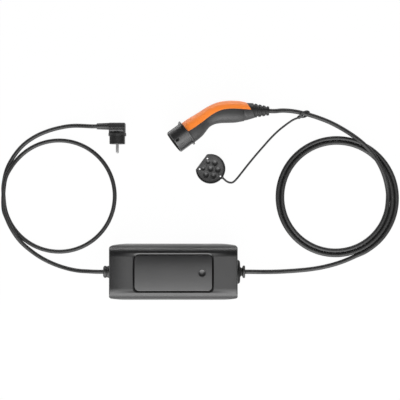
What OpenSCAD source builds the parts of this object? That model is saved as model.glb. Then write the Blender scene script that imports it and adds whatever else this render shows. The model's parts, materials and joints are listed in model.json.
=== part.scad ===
// Portable charger for electric cars: a control box with a face panel and a push button,
// a mains lead with an angled plug, a charging cable with a car connector, and a dust cap
// on a tether. It lies on a flat surface as it was laid out, with the cables loosely looped.
// Lengths are in millimetres. The origin is the middle of the control box's underside.

/* [Control box] */
// Length of the control box
box_l = 264; // [250:1:280]
// Width of the control box
box_w = 115; // [108:1:120]
// Height of the control box
box_h = 62; // [60:1:70]
// Wall of the base and the cover
box_wall = 3; // [2.6:0.1:3.4]
// Radius of the broad shoulders along the cover
shoulder_r = 28; // [26:0.5:30]
// Radius of the edges along the underside
foot_r = 6; // [5:0.5:9]
// How far each side draws in towards an end
end_taper = 3.4; // [2:0.2:5]
// How far the top falls towards an end
end_drop = 3; // [1:0.2:4]
// Radius of the corners at the ends
corner_r = 4.5; // [4:0.5:8]

/* [Face panel] */
// Length of the face panel
panel_l = 158; // [140:1:170]
// Width of the face panel
panel_w = 73; // [68:1:76]
// Corner radius of the face panel
panel_r = 9; // [6:0.5:14]
// Radius of the face panel's crown
panel_crown_r = 215; // [180:5:300]
// Width of the groove around the face panel
groove_w = 4.3; // [3.6:0.1:4.8]
// Gap around the face panel at the bottom of the groove
panel_gap = 0.6; // [0.4:0.1:1]
// Depth of the pocket that holds the face panel
pocket_depth = 6.4; // [5.6:0.2:7]
// Depth of the groove around the face panel
groove_drop = 4.6; // [4.2:0.2:5.2]
// Sideways place of the face panel and the button
panel_y = -1; // [-2:0.5:2]
// Height of the face panel above the cover
panel_proud = 0.3; // [0:0.1:0.8]

/* [Push button] */
// Diameter of the button
button_d = 16; // [12:0.5:18]
// Distance of the button from the end of the panel
button_in = 20; // [18:0.2:26]
// Depth of the dish in the button
button_dish = 2.2; // [1.4:0.1:2.6]
// Travel of the button
button_travel = 1; // [0.6:0.1:1.2]
// Running gap around the button
button_gap = 0.3; // [0.25:0.05:0.5]

/* [Electronics] */
// Length of the circuit board
board_l = 196; // [180:1:200]
// Width of the circuit board
board_w = 84; // [80:1:88]
// Thickness of the circuit boards
board_t = 1.6; // [1.2:0.1:2]
// Height of the posts under the circuit board
post_h = 8; // [6:0.5:10]
// Diameter of the boss around a screw
boss_d = 9; // [8:0.5:10]
// Thread diameter of the screws
screw_d = 3; // [2.5:0.1:3.5]

/* [Cord entries] */
// Height of the cord entries and of the parting line above the underside
entry_z = 30; // [27:0.5:32]
// Diameter of the holes for the cord entries
entry_d = 17; // [15:0.5:18]
// Diameter of the rings on the mains entry
inlet_d = 25; // [23:0.5:27]
// Length of the mains entry outside the box
inlet_len = 13.5; // [12:0.5:15]
// Diameter of the domed collar on the charging side
collar_d = 50; // [46:1:54]
// Length of the domed collar outside the box
collar_len = 5.5; // [4:0.5:7]
// Diameter of the end ring on the charging side
bush_d = 26; // [23:0.5:28]
// Length of the bush beyond the collar
bush_len = 10.5; // [9:0.5:12]

/* [Cords] */
// Diameter of the mains lead
supply_d = 8.6; // [8:0.1:8.6]
// Diameter of the charging cable
cable_d = 9; // [8.4:0.1:9]
// Diameter of the tether
tether_d = 4.2; // [3.6:0.1:4.2]
// Distance between the turns of the coil
coil_pitch = 9.2; // [9.1:0.1:9.6]

/* [Mains plug] */
// Diameter of the plug's rim
plug_d = 38; // [37:0.5:40]
// Width of the plug's rim across the earth clips
plug_w = 36.4; // [35:0.2:37]
// Length of the plug behind its front face
plug_len = 43.8; // [42:0.2:46]
// Length of the insert in front of the rim
insert_len = 16.6; // [15:0.2:18]
// Diameter of a pin
pin_d = 4.8; // [4:0.1:5]
// Length of a pin
pin_len = 19; // [17:0.5:19.5]
// Distance between the pins
pin_gap = 19; // [18.5:0.5:19.5]

/* [Car connector] */
// Diameter of the barrel
barrel_d = 54.4; // [53:0.2:56]
// Distance of the barrel's flat from its axis
barrel_flat = 21; // [20.6:0.1:21.6]
// Wall of the barrel
barrel_wall = 2.7; // [2.3:0.1:3]
// Length of the barrel in front of the flange
barrel_len = 31; // [29:0.5:34]
// Thickness of the flange
flange_t = 2.5; // [2:0.1:3]
// Distance of the flange's rim beyond the barrel
flange_rim = 3.8; // [3:0.1:4]
// Depth of the contact towers behind the mouth
tower_recess = 11; // [10.5:0.5:12]
// Bore of a power contact
power_bore_d = 6; // [5.5:0.1:6.4]
// Bore of a pilot contact
pilot_bore_d = 3; // [2.6:0.1:3.4]
// Distance between contacts along the middle row
contact_pitch = 15.5; // [15:0.1:16]
// Wall of the grip's shells
grip_wall = 2.6; // [2:0.1:3]
// Gap along the seam between the grip's shells
seam_gap = 0.3; // [0.1:0.05:0.6]

/* [Dust cap] */
// Height of the dust cap
cap_h = 19; // [17:0.5:22]
// Outside of the cap's skirt beyond the barrel
cap_skirt = 3.7; // [3.2:0.1:4.2]
// Clearance between the cap and the barrel
cap_gap = 0.4; // [0.2:0.05:0.6]
// Floor of the cap
cap_floor = 10.6; // [10:0.2:11.4]

/* [Hidden] */
$fn = 96;

// Small overlap that lets a cut run past a face
over = 1;

// Colours
shell_grey = "#4b4c4f";
panel_grey = "#55565a";
rubber_black = "#262628";
cover_orange = "#f58220";
metal = "#c9ccd0";
board_green = "#2e6b45";
part_blue = "#39536b";

// Box: the outline is straight along the panel and eases in beyond it
straight_half = panel_l / 2 + 14;
ease_steps = 5;
round_steps = 4;
pocket_l = panel_l + 2 * groove_w;
pocket_w = panel_w + 2 * groove_w;
pocket_r = panel_r + groove_w;
pocket_z = box_h - pocket_depth;
// The shoulders have fallen a little where the pocket's long sides meet them
rim_out = max(pocket_w / 2 - (box_w / 2 - shoulder_r), 0);
rim_fall = shoulder_r - sqrt(shoulder_r * shoulder_r - rim_out * rim_out);
pocket_floor_l = panel_l + 2 * panel_gap;
pocket_floor_w = panel_w + 2 * panel_gap;
groove_cut_h = groove_drop + over;
end_spread = (groove_w - panel_gap) * groove_cut_h / groove_drop;
side_spread = (groove_w - panel_gap) * groove_cut_h / (groove_drop - rim_fall);
backing_z = pocket_z - box_wall;
backing_rim = 4;
seal_t = 1;
seal_in = box_wall * 0.3;
seal_out = box_wall * 0.7;

// Button: a dished cap, a collar that keeps it in and a stem above its switch
button_r = button_d / 2;
button_x = panel_l / 2 - button_in;
button_proud = 0.2;
button_top = box_h + panel_proud + button_proud;
button_rim = 0.9;
keeper_r = button_r + 1.5;
keeper_t = 1.5;
keeper_top = backing_z - button_gap;
stem_r = 2.5;
stem_len = 2;
stem_z = keeper_top - keeper_t - stem_len;
switch_top = stem_z - button_travel - button_gap;
switch_size = 6;
switch_h = 3.5;
switch_knob_h = 1;
switch_board_top = switch_top - switch_h;
switch_board_size = [40, 24];
switch_post_x = 15;

// Electronics on the main board
board_z = box_wall + post_h;
board_top = board_z + board_t;
board_screw_in = 5;
board_screws_at = [
    for (sx = [-1, 0, 1], sy = [-1, 1])
        [sx * (board_l / 2 - board_screw_in), sy * (board_w / 2 - board_screw_in)]
];
cover_screws_at = [
    for (sx = [-1, 1], sy = [-1, 1])
        [sx * (box_l / 2 - box_wall - boss_d * 0.8), sy * (box_w / 2 - box_wall - boss_d * 1.1)]
];
screw_head_d = 2 * screw_d;
screw_head_t = screw_d * 0.8;
head_depth = 5;
screw_gap = 0.4;
head_gap = 0.6;
board_hole_gap = 0.2;
thread_depth = 12;
post_thread = 6;
thread_spare = 1;
board_r = 3;
relay_size = [29, 15, 25];
relay_x = [-18, 4, 26];
relay_y = -18;
sensor_r = 15;
sensor_hole_r = 8;
sensor_h = 12;
sensor_at = [-46, 14];
module_size = [42, 28, 22];
module_at = [24, 20];
capacitor_r = 7;
capacitor_gap = 5.8;
capacitor_h = switch_board_top - board_t - board_top - capacitor_gap;
capacitor_at = [for (i = [-1 : 1]) [62, i * 18]];
terminal_size = [14, 34, 15];
terminal_x = board_l / 2 - terminal_size.x;
wire_hole_d = 5;
wire_pitch = 10;
wire_z = 6;

// Cord entries: inner flanges hold them in the box's end walls
entry_flange_r = entry_d / 2 + 3;
entry_flange_t = 2.5;

// Radii of the cords
supply_r = supply_d / 2;
cable_r = cable_d / 2;
tether_r = tether_d / 2;

// Mains plug, on its side with the pins one above the other
plug_at = [-117.4, 265.4, plug_d / 2];
rim_t = 6;
insert_d = plug_d - 2;
insert_w = plug_w - 5;
clip_w = 8;
clip_t = 0.8;
pin_root_d = pin_d + 1.6;
pin_root_len = insert_len * 0.7;
pin_tip = pin_d * 0.3;
body_w = plug_w - 3;
body_len = plug_len - insert_len - rim_t;
body_h = plug_d - 2;
sleeve_len = 26;
sleeve_y = plug_len - 7;
sleeve_r = 7.3;
sleeve_end_r = 6.3;
sleeve_end = plug_at + [-body_w / 2 - sleeve_len, sleeve_y, 0];
slit_count = 6;
slit_pitch = 2.8;
slit_size = [3, 5, 1.3];
plug_inner_r = 3;
plug_outer_r = 7;

// Car connector: u runs from the mouth to the grip, v towards the orange cover
conn_heading = 36.4;
barrel_r = barrel_d / 2;
flange_r = barrel_r + flange_rim;
bore_r = barrel_r - barrel_wall;
bore_flat = barrel_flat - barrel_wall;
bore_depth = barrel_len - 1;
flange_end = barrel_len + flange_t;
lip = 1;
lock_u = 6.6;
lock_v = -4.4;
lock_len = 9.2;
lock_w = 5.4;
spigot_r = 18;
spigot_flat = 13.5;
spigot_wall = 3;
spigot_len = 18;
front_seal_w = 1.2;
front_seal_t = 2;
plate_t = 3;
sleeve_wall = 1;
sleeve_floor = bore_depth - 1;
sleeve_recess = 1;
tower_wall = 1.4;
pilot_half = 8.5;
pilot_v = 12.6;
power_at = [[0, 0], [0, contact_pitch], [0, -contact_pitch]];
spare_at = [for (s = [-1, 1]) [-contact_pitch * sin(60), s * contact_pitch / 2]];
pilot_at = [for (s = [-1, 1]) [pilot_v, s * pilot_half]];
power_r = power_bore_d / 2 + sleeve_wall;
pilot_r = pilot_bore_d / 2 + sleeve_wall;

// Grip: each station has the top point, the bottom point, the half width and
// the share of its height that the cover takes
grip_front = flange_end + seam_gap;
grip_power = 2.4;
grip_arc = 14;
grip_stations = [
    [[grip_front, 20], [grip_front, -27.5], 25, 0.48],
    [[50, 20.2], [49, -27.2], 25, 0.51],
    [[65, 18.8], [60, -25.6], 24.2, 0.52],
    [[79, 17.7], [70, -22.6], 22.6, 0.54],
    [[93, 16.9], [80, -20.4], 21.6, 0.55],
    [[107, 15.2], [92, -22.4], 21.6, 0.51],
    [[122, 11.4], [104, -28.4], 22.4, 0.45],
    [[136, 4.8], [116, -36.6], 22.8, 0.42],
    [[149, -3.6], [129, -45.2], 22.2, 0.42],
    [[160, -12.4], [146, -53.4], 20.4, 0.46],
    [[169.8, -23], [166.4, -60.8], 17.6, 0.52]
];
grip_steps = 3;
// Places along the stations, with the seam in front of the tail among them
seam_at = 8.96;
seam_span = 0.12;
seam_edge = 0.02;
seam_depth = 1.2;
tail_inset = 0.5;
grip_places = concat(
    [for (i = [0 : grip_steps * floor(seam_at)]) i / grip_steps],
    [seam_at - seam_edge, seam_at, seam_at + seam_span, seam_at + seam_span + seam_edge],
    [for (i = [grip_steps * ceil(seam_at) + 1 : grip_steps * (len(grip_stations) - 1)]) i / grip_steps]
);

// It rests on the flange and on the belly of the grip, which sets its tilt and height
belly = grip_stations[8];
belly_u = (belly[0].x + belly[1].x) / 2;
conn_tilt = atan((flange_r - belly[2]) / (belly_u - flange_end));
conn_at = [-0.7, 270, flange_end * sin(conn_tilt) + flange_r * cos(conn_tilt) + 0.05];

// Boot: ribbed, tapering along its own axis
boot_at = [172, -45.6];
boot_end = [199, -66.3];
boot_axis = boot_end - boot_at;
boot_turn = atan2(boot_axis.y, boot_axis.x);
boot_len = norm(boot_axis);
function boot_point(s) = [
    boot_at.x + boot_axis.x * s / boot_len, boot_at.y + boot_axis.y * s / boot_len, 0
];
boot_r = 15.6;
boot_end_r = 9.2;
boot_ribs = 4;
rib_depth = 2;
spine_w = 8;
spine_low = 0.4;
boot_lead = 16;
root_r = 10.5;
root_len = 25;
root_collar_r = 12.5;
root_collar_t = 5;
clamp_size = [8, 26, 22];

// Dust cap, lying with its inside up
cap_at = [76.7, 213.8, 0];
cap_turn = 143.6;
skirt_r = barrel_r + cap_skirt;
skirt_flat = barrel_flat + cap_skirt - 0.8;
groove_r = barrel_r + cap_gap;
groove_flat = barrel_flat + cap_gap;
lead_w = 2.2;
lead_h = cap_h - cap_floor;
well_r = power_r + tower_wall + 0.8;
pilot_well_r = pilot_r + tower_wall + 0.4;
well_depth = 5.4;
pilot_well_depth = 4;
drain_d = 3.4;
drain_r = 22.8;
drain_a = 37;
far_drain_r = groove_r - drain_d / 2;
lug_r = 3.6;
lug_h = 9.4;
lug_at = skirt_r - 1;
cap_edge = 2;
tether_start = [
    cap_at.x + (lug_at + lug_r) * cos(cap_turn + 180),
    cap_at.y + (lug_at + lug_r) * sin(cap_turn + 180),
    lug_h / 2 + 0.4
];

// Routes of the cords, as they lie
inlet_end = [-box_l / 2 - inlet_len, 0, entry_z];
outlet_end = [box_l / 2 + collar_len + bush_len, 0, entry_z];
// Straight run of a cord out of a sleeve or boot
lead_in = 12;

// The mains lead passes over itself once, on the left of its loop
loop_centre = [-240.5, 157];
loop_r = 116.5;
loop_step = 15;
loop_over = supply_d + 0.3;
supply_from_box = [
    inlet_end, [-158, 0, entry_z], [-177, 0.5, 25.5], [-200, 1.5, 16], [-225, 6, 8.4], [-251, 14.5, 4.8],
    [-276, 26.5, 4.4], [-299, 42, 4.7], [-320, 61, 8], [-336, 83.5, 12.2], [-348, 108, 13.2],
    [-356, 135, 13.2]
];
supply_loop = [
    for (a = [165 : -loop_step : -180]) [
        loop_centre.x + loop_r * cos(a),
        loop_centre.y + loop_r * sin(a),
        supply_r + loop_over * eased((a - 136) / 24)
    ]
];
supply_to_plug = [
    [-357, 181, 4.4], [-350, 213, 4.4], [-335, 241, 4.4], [-315, 264.5, 4.4], [-290, 282, 4.4],
    [-262, 294, 4.4], [-234, 301.3, 5], [-211, 304, 8.6], [-190, 303.4, 15],
    sleeve_end - [lead_in, 0, 0], sleeve_end
];

// The charging cable's coil is a flat spiral of two turns
coil_centre = [340, 153.5];
coil_turns = 2;
coil_start_r = 127;
coil_start_a = -60;
coil_out_r = coil_start_r - coil_pitch * coil_start_a / 360 + cable_r;
coil_in_r = coil_start_r - coil_pitch * coil_turns - cable_r;
cable_from_box = [
    outlet_end, [160, 0, entry_z], [181, -0.5, 25.5], [206, -1, 16], [232, -0.5, 8.4], [258, 1, 5],
    [284, 3.5, 4.6], [309, 7.5, 4.6], [334, 13.5, 4.6], [358, 21.5, 4.6], [382, 32, 4.6],
    [404, 42.2, 4.5]
];
cable_to_grip = [
    [448.7, 154, 4.5], [447.3, 172, 6], [441.5, 195, 10.4], [432, 218, 13.6], [419.5, 239, 13.9],
    [405, 257, 13.9], [389, 272, 13.4], [370, 286.5, 9.4], [349, 300, 5.6], [327, 311.5, 4.8],
    [304, 320.5, 5.6], [283, 327, 8], [263, 332, 8.4], [244, 335, 9.2], [226, 335.6, 12.6],
    connector_point(boot_point(boot_len + lead_in)), connector_point(boot_point(boot_len))
];

// The tether's loop lies slanting round the cable, with a clasp on one side and a bead on the other
ring_at = [274, 329.3, 8.2];
ring_slant = 32;
cable_slant = -14;
ring_w = 4;
ring_gap = 0.4;
ring_t = 1.4;
ring_cross = ring_slant - cable_slant;
ring_in_l = 2 * (cable_r / sin(ring_cross) + ring_w / 2 / tan(ring_cross) + ring_gap);
ring_in_h = cable_d + 2 * ring_gap;
clasp_size = [8, 6, 6];
bead_size = [5, 5, 5];
clasp_at = ring_in_l / 2 + ring_t / 2 + clasp_size.x / 2;
bead_at = ring_in_l / 2 + ring_t / 2 + bead_size.x / 2;
tether_reach = clasp_at + clasp_size.x / 4;
tether_end = ring_at - [tether_reach * cos(ring_slant), tether_reach * sin(ring_slant), 1];
tether_points = [
    [110, 188.3, 3.4], [117, 185.4, 2.3], [124, 186.2, 2.1], [132, 193.6, 2.1], [143, 207.3, 2.1],
    [156, 223.8, 2.1], [171, 242, 2.1], [187, 260.4, 2.1], [203, 278.4, 2.1], [219, 294, 2.1],
    [236, 307.5, 2.6], [250, 316.8, 5]
];

// Functions

// Smooth step from 0 to 1
function eased(k) = let (c = min(max(k, 0), 1)) c * c * (3 - 2 * c);

function reversed(list) = [for (i = [len(list) - 1 : -1 : 0]) list[i]];

// One end of an outline: straight, then an eased fall, then a rounded corner
function eased_end(straight, reach, level, fall, r) =
    let (run = reach - r - straight)
    let (lean = atan(2 * fall / run))
    let (mid = level - fall - r * cos(lean))
    concat(
        [for (i = [0 : ease_steps]) let (k = i / ease_steps)
            [straight + k * (run + r * sin(lean)), level - fall * k * k]],
        [for (i = [1 : round_steps]) let (a = (90 - lean) * (1 - i / round_steps))
            [reach - r + r * cos(a), mid + r * sin(a)]]
    );

function flip_x(list) = [for (p = list) [-p.x, p.y]];

function flip_y(list) = [for (p = list) [p.x, -p.y]];

// Superellipse power that keeps the sign
function signed_pow(x, n) = sign(x) * pow(abs(x), n);

// Smooth curve through values a, b, c, d, between b and c
function through(a, b, c, d, k) =
    b + (c - a) * k / 2 + (2 * a - 5 * b + 4 * c - d) * k * k / 2
    + (3 * b - a - 3 * c + d) * k * k * k / 2;

// Station of the grip at a place along its list, between the given ones too
function station(t) =
    let (last = len(grip_stations) - 1)
    let (i = min(floor(t), last - 1))
    let (k = t - i)
    let (s = [for (j = [-1 : 2]) grip_stations[min(max(i + j, 0), last)]])
    [for (m = [0 : 3]) through(s[0][m], s[1][m], s[2][m], s[3][m], k)];

// Arc of a grip section on one side of the seam; side is 1 for the cover and -1 for the shell
function grip_arc_points(s, inset, side) =
    let (axis = s[0] - s[1])
    let (half = norm(axis) / 2)
    let (up = axis / norm(axis))
    let (mid = (s[0] + s[1]) / 2)
    let (seam = half * (1 - 2 * s[3]) + side * seam_gap / 2)
    let (h = half - inset)
    let (w = s[2] - inset)
    let (a0 = asin(signed_pow(seam / h, grip_power / 2)))
    let (a1 = side > 0 ? 180 - a0 : -180 - a0)
    [for (i = [0 : grip_arc])
        let (a = a0 + (a1 - a0) * i / grip_arc)
        let (p = mid + up * h * signed_pow(sin(a), 2 / grip_power))
        [p.x, p.y, w * signed_pow(cos(a), 2 / grip_power)]];

// Closed ring of a shell's section: out along the outside, back along the inside
function shell_ring(t, side) = concat(
    grip_arc_points(station(t), side < 0 ? lower_inset(t) : 0, side),
    reversed(grip_arc_points(station(t), grip_wall, side))
);

// How far the outside of the lower shell is set in along the grip
function lower_inset(t) =
    t < seam_at ? 0 : t <= seam_at + seam_span ? seam_depth : tail_inset;

// Frame of a cord at one point of its route: sideways and upwards, square to the route
function cord_ring(route, i, r, sides) =
    let (a = route[max(i - 1, 0)])
    let (b = route[min(i + 1, len(route) - 1)])
    let (along = (b - a) / norm(b - a))
    let (across = cross([0, 0, 1], along))
    let (out = across / norm(across))
    let (up = cross(along, out))
    [for (j = [0 : sides - 1])
        let (q = 360 * (j + 0.5) / sides)
        route[i] + r * (cos(q) * out + sin(q) * up)];

// Shared shapes

// Two triangles for one face of a swept surface
function quad(a, b, c, d) = [[a, b, c], [a, c, d]];

module rounded_rect(l, w, r) {
    square([l - 2 * r, w], center = true);
    square([l, w - 2 * r], center = true);
    for (sx = [-1, 1], sy = [-1, 1])
        translate([sx * (l / 2 - r), sy * (w / 2 - r)])
            circle(r);
}

// Slot with round ends
module slot_outline(l, w) {
    square([l - w, w], center = true);
    for (s = [-1, 1])
        translate([s * (l - w) / 2, 0])
            circle(d = w);
}

// Circle with one flat, towards +x
module d_shape(r, flat) {
    intersection() {
        circle(r);
        translate([flat - 2 * r, -r])
            square([2 * r, 2 * r]);
    }
}

module block(size, at, z) {
    translate([at.x - size.x / 2, at.y - size.y / 2, z])
        cube(size);
}

module pan_screw(shank) {
    cylinder(d = screw_head_d, h = screw_head_t);
    translate([0, 0, -shank])
        cylinder(d = screw_d, h = shank);
}

// Tube with flat ends along a list of points
module cord(route, r, sides) {
    rings = len(route);
    points = [for (i = [0 : rings - 1]) each cord_ring(route, i, r, sides)];
    skin = [
        for (i = [0 : rings - 2], j = [0 : sides - 1])
            let (n = (j + 1) % sides)
            each quad(i * sides + j, (i + 1) * sides + j, (i + 1) * sides + n, i * sides + n)
    ];
    first = [for (j = [0 : sides - 1]) j];
    last = [for (j = [sides - 1 : -1 : 0]) (rings - 1) * sides + j];
    polyhedron(points, concat(skin, [first, last]));
}

// Cross-section of the box along its length, set in by d
module box_section(d) {
    half = box_w / 2 - d;
    top = box_h - d;
    r_top = shoulder_r - d;
    r_low = foot_r - d;
    translate([-half, d + r_low])
        square([2 * half, top - d - r_low - r_top]);
    translate([r_low - half, d])
        square([2 * (half - r_low), 2 * r_low]);
    translate([r_top - half, d])
        square([2 * (half - r_top), top - d]);
    for (s = [-1, 1]) {
        translate([s * (half - r_top), top - r_top])
            circle(r_top);
        translate([s * (half - r_low), d + r_low])
            circle(r_low);
    }
}

// Plan of the box, set in by d
module box_plan(d) {
    r = max(corner_r - d, over);
    end = eased_end(straight_half, box_l / 2 - d, box_w / 2 - d, end_taper, r);
    right = concat(end, reversed(flip_y(end)));
    polygon(concat(right, reversed(flip_x(right))));
}

// Side view of the box, set in by d
module box_side(d) {
    r = max(corner_r - d, over);
    end = eased_end(straight_half, box_l / 2 - d, box_h - d, end_drop, r);
    right = concat(end, [[box_l / 2 - d, 0]]);
    polygon(concat(right, reversed(flip_x(right))));
}

// Form of the box, set in by d
module box_form(d) {
    intersection() {
        rotate([90, 0, 90])
            translate([0, 0, -box_l])
                linear_extrude(2 * box_l)
                    box_section(d);
        linear_extrude(box_h + over)
            box_plan(d);
        rotate([90, 0, 0])
            translate([0, 0, -box_w])
                linear_extrude(2 * box_w)
                    box_side(d);
    }
}

// Everything between two heights
module layer(low, high) {
    translate([-box_l, -box_w, low])
        cube([2 * box_l, 2 * box_w, high - low]);
}

module box_walls(low, high) {
    intersection() {
        difference() {
            box_form(0);
            box_form(box_wall);
        }
        layer(low, high);
    }
}

module entry_holes(d) {
    for (s = [-1, 1])
        translate([s * box_l / 2, 0, entry_z])
            rotate([0, 90, 0])
                cylinder(d = d, h = 4 * box_wall, center = true);
}

// Ring along the walls where base and cover meet
module seal_ring() {
    translate([0, 0, entry_z - seal_t])
        linear_extrude(seal_t)
            difference() {
                box_plan(seal_in);
                box_plan(seal_out);
            }
}

// Control box

module box_base() {
    color(shell_grey)
    difference() {
        union() {
            box_walls(0, entry_z);
            for (p = board_screws_at)
                translate([p.x, p.y, box_wall / 2])
                    cylinder(d = boss_d, h = board_z - box_wall / 2);
            for (p = cover_screws_at)
                translate([p.x, p.y, box_wall / 2])
                    cylinder(d = boss_d, h = entry_z - box_wall / 2);
        }
        seal_ring();
        entry_holes(entry_d);
        for (p = board_screws_at)
            translate([p.x, p.y, box_wall])
                cylinder(d = screw_d, h = post_h + over);
        for (p = cover_screws_at)
            translate([p.x, p.y, -over]) {
                cylinder(d = screw_d + screw_gap, h = entry_z + 2 * over);
                cylinder(d = screw_head_d + head_gap, h = head_depth + over);
            }
    }
}

// Pocket for the face panel, wider towards the top
module panel_pocket() {
    translate([0, panel_y, pocket_z])
        linear_extrude(pocket_depth)
            rounded_rect(pocket_floor_l, pocket_floor_w, panel_r + panel_gap, $fn = 40);
    translate([0, panel_y, box_h - groove_drop])
        linear_extrude(
            groove_cut_h,
            scale = [1 + 2 * end_spread / pocket_floor_l, 1 + 2 * side_spread / pocket_floor_w],
            slices = 1, $fn = 40
        )
            rounded_rect(pocket_floor_l, pocket_floor_w, panel_r + panel_gap);
}

module box_cover() {
    color(shell_grey)
    difference() {
        union() {
            box_walls(entry_z, box_h);
            intersection() {
                box_form(box_wall / 2);
                translate([0, panel_y, backing_z])
                    linear_extrude(box_wall + pocket_depth)
                        rounded_rect(
                            pocket_l + 2 * backing_rim, pocket_w + 2 * backing_rim,
                            pocket_r + backing_rim
                        );
            }
            intersection() {
                box_form(box_wall / 2);
                for (p = cover_screws_at)
                    translate([p.x, p.y, entry_z])
                        cylinder(d = boss_d, h = box_h);
            }
            for (s = [-1, 1])
                translate([button_x + s * switch_post_x, panel_y, switch_board_top])
                    cylinder(d = boss_d - 2, h = backing_z - switch_board_top + over);
        }
        panel_pocket();
        translate([button_x, panel_y, backing_z - over])
            cylinder(r = button_r + button_gap, h = box_wall + 2 * over);
        entry_holes(entry_d);
        for (p = cover_screws_at)
            translate([p.x, p.y, entry_z - over])
                cylinder(d = screw_d, h = thread_depth + over);
        for (s = [-1, 1])
            translate([button_x + s * switch_post_x, panel_y, switch_board_top - over])
                cylinder(d = screw_d, h = post_thread + over);
    }
}

module box_seal() {
    color(rubber_black)
    difference() {
        seal_ring();
        entry_holes(entry_d);
    }
}

module face_panel() {
    top = box_h + panel_proud;
    color(panel_grey)
    difference() {
        intersection() {
            translate([0, panel_y, top - panel_crown_r])
                rotate([0, 90, 0])
                    cylinder(r = panel_crown_r, h = 2 * panel_l, center = true, $fn = 720);
            translate([0, panel_y, pocket_z])
                linear_extrude(2 * pocket_depth)
                    rounded_rect(panel_l, panel_w, panel_r);
        }
        translate([button_x, panel_y, pocket_z - over])
            cylinder(r = button_r + button_gap, h = 2 * pocket_depth + over);
    }
}

module mode_button() {
    dish_r = button_r - button_rim;
    dish_ball_r = (dish_r * dish_r + button_dish * button_dish) / (2 * button_dish);
    color(panel_grey)
    translate([button_x, panel_y, 0])
        difference() {
            union() {
                translate([0, 0, keeper_top - keeper_t])
                    cylinder(r = button_r, h = button_top - keeper_top + keeper_t);
                translate([0, 0, keeper_top - keeper_t])
                    cylinder(r = keeper_r, h = keeper_t);
                translate([0, 0, stem_z])
                    cylinder(r = stem_r, h = stem_len + over);
            }
            translate([0, 0, button_top - button_dish + dish_ball_r])
                sphere(r = dish_ball_r);
        }
}

module switch_board() {
    color(board_green)
    difference() {
        translate([button_x, panel_y, switch_board_top - board_t])
            linear_extrude(board_t)
                rounded_rect(switch_board_size.x, switch_board_size.y, board_r);
        for (s = [-1, 1])
            translate([button_x + s * switch_post_x, panel_y, switch_board_top - board_t - over])
                cylinder(d = screw_d + board_hole_gap, h = board_t + 2 * over);
    }
}

module button_switch() {
    color(rubber_black)
    translate([button_x, panel_y, switch_board_top]) {
        block([switch_size, switch_size, switch_h - switch_knob_h], [0, 0], 0);
        cylinder(r = stem_r * 0.8, h = switch_h);
    }
}

module circuit_board() {
    color(board_green)
    difference() {
        translate([0, 0, board_z])
            linear_extrude(board_t)
                rounded_rect(board_l, board_w, board_r);
        for (p = board_screws_at)
            translate([p.x, p.y, board_z - over])
                cylinder(d = screw_d + board_hole_gap, h = board_t + 2 * over);
    }
}

module power_relays() {
    color(part_blue)
    for (x = relay_x)
        block([relay_size.y, relay_size.x, relay_size.z], [x, relay_y], board_top);
}

module current_sensor() {
    color(rubber_black)
    translate([sensor_at.x, sensor_at.y, board_top])
        rotate_extrude()
            translate([sensor_hole_r, 0])
                square([sensor_r - sensor_hole_r, sensor_h]);
}

module supply_module() {
    color(rubber_black)
    block(module_size, module_at, board_top);
}

module filter_capacitors() {
    color(metal)
    for (p = capacitor_at)
        translate([p.x, p.y, board_top])
            cylinder(r = capacitor_r, h = capacitor_h);
}

module terminal_blocks() {
    color(part_blue)
    for (s = [-1, 1])
        difference() {
            block(terminal_size, [s * terminal_x, 0], board_top);
            for (i = [-1 : 1])
                translate([s * (terminal_x + terminal_size.x / 2), i * wire_pitch, board_top + wire_z])
                    rotate([0, 90, 0])
                        cylinder(d = wire_hole_d, h = terminal_size.x, center = true);
        }
}

module board_screws() {
    color(metal) {
        for (p = board_screws_at)
            translate([p.x, p.y, board_top])
                pan_screw(board_t + post_h - 2 * thread_spare);
        for (s = [-1, 1])
            translate([button_x + s * switch_post_x, panel_y, switch_board_top - board_t])
                mirror([0, 0, 1])
                    pan_screw(board_t + post_thread - thread_spare);
    }
}

module cover_screws() {
    color(metal)
    for (p = cover_screws_at)
        translate([p.x, p.y, head_depth])
            mirror([0, 0, 1])
                pan_screw(entry_z - head_depth + thread_depth - thread_spare);
}

// Cord entries, turned profiles along the box's length

// Turned part on an end wall: profile points are distance outwards from the wall, then radius
module entry_part(side, profile) {
    translate([side * box_l / 2, 0, entry_z])
        rotate([0, side * 90, 0])
            rotate_extrude()
                polygon([for (p = profile) [p.y, p.x]]);
}

module inlet_gland() {
    ring_r = inlet_d / 2;
    waist_r = ring_r - 1.4;
    end_r = ring_r - 2.2;
    color(rubber_black)
    entry_part(-1, [
        [-box_wall - entry_flange_t, 0], [-box_wall - entry_flange_t, entry_flange_r],
        [-box_wall, entry_flange_r], [-box_wall, entry_d / 2], [0, entry_d / 2],
        [0, ring_r], [inlet_len * 0.34, ring_r], [inlet_len * 0.4, waist_r],
        [inlet_len * 0.5, waist_r], [inlet_len * 0.56, ring_r], [inlet_len * 0.86, ring_r],
        [inlet_len, end_r], [inlet_len, 0]
    ]);
}

module outlet_collar() {
    rim_r = collar_d / 2;
    dome_steps = 6;
    round_r = 5;
    color(rubber_black)
    entry_part(1, concat(
        [[-box_wall - entry_flange_t, 0], [-box_wall - entry_flange_t, entry_flange_r],
         [-box_wall, entry_flange_r], [-box_wall, entry_d / 2], [0, entry_d / 2], [0, rim_r]],
        [for (i = [1 : dome_steps]) let (a = 90 * i / dome_steps)
            [collar_len * sin(a), rim_r - round_r + round_r * cos(a)]],
        [[collar_len, 0]]
    ));
}

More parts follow.
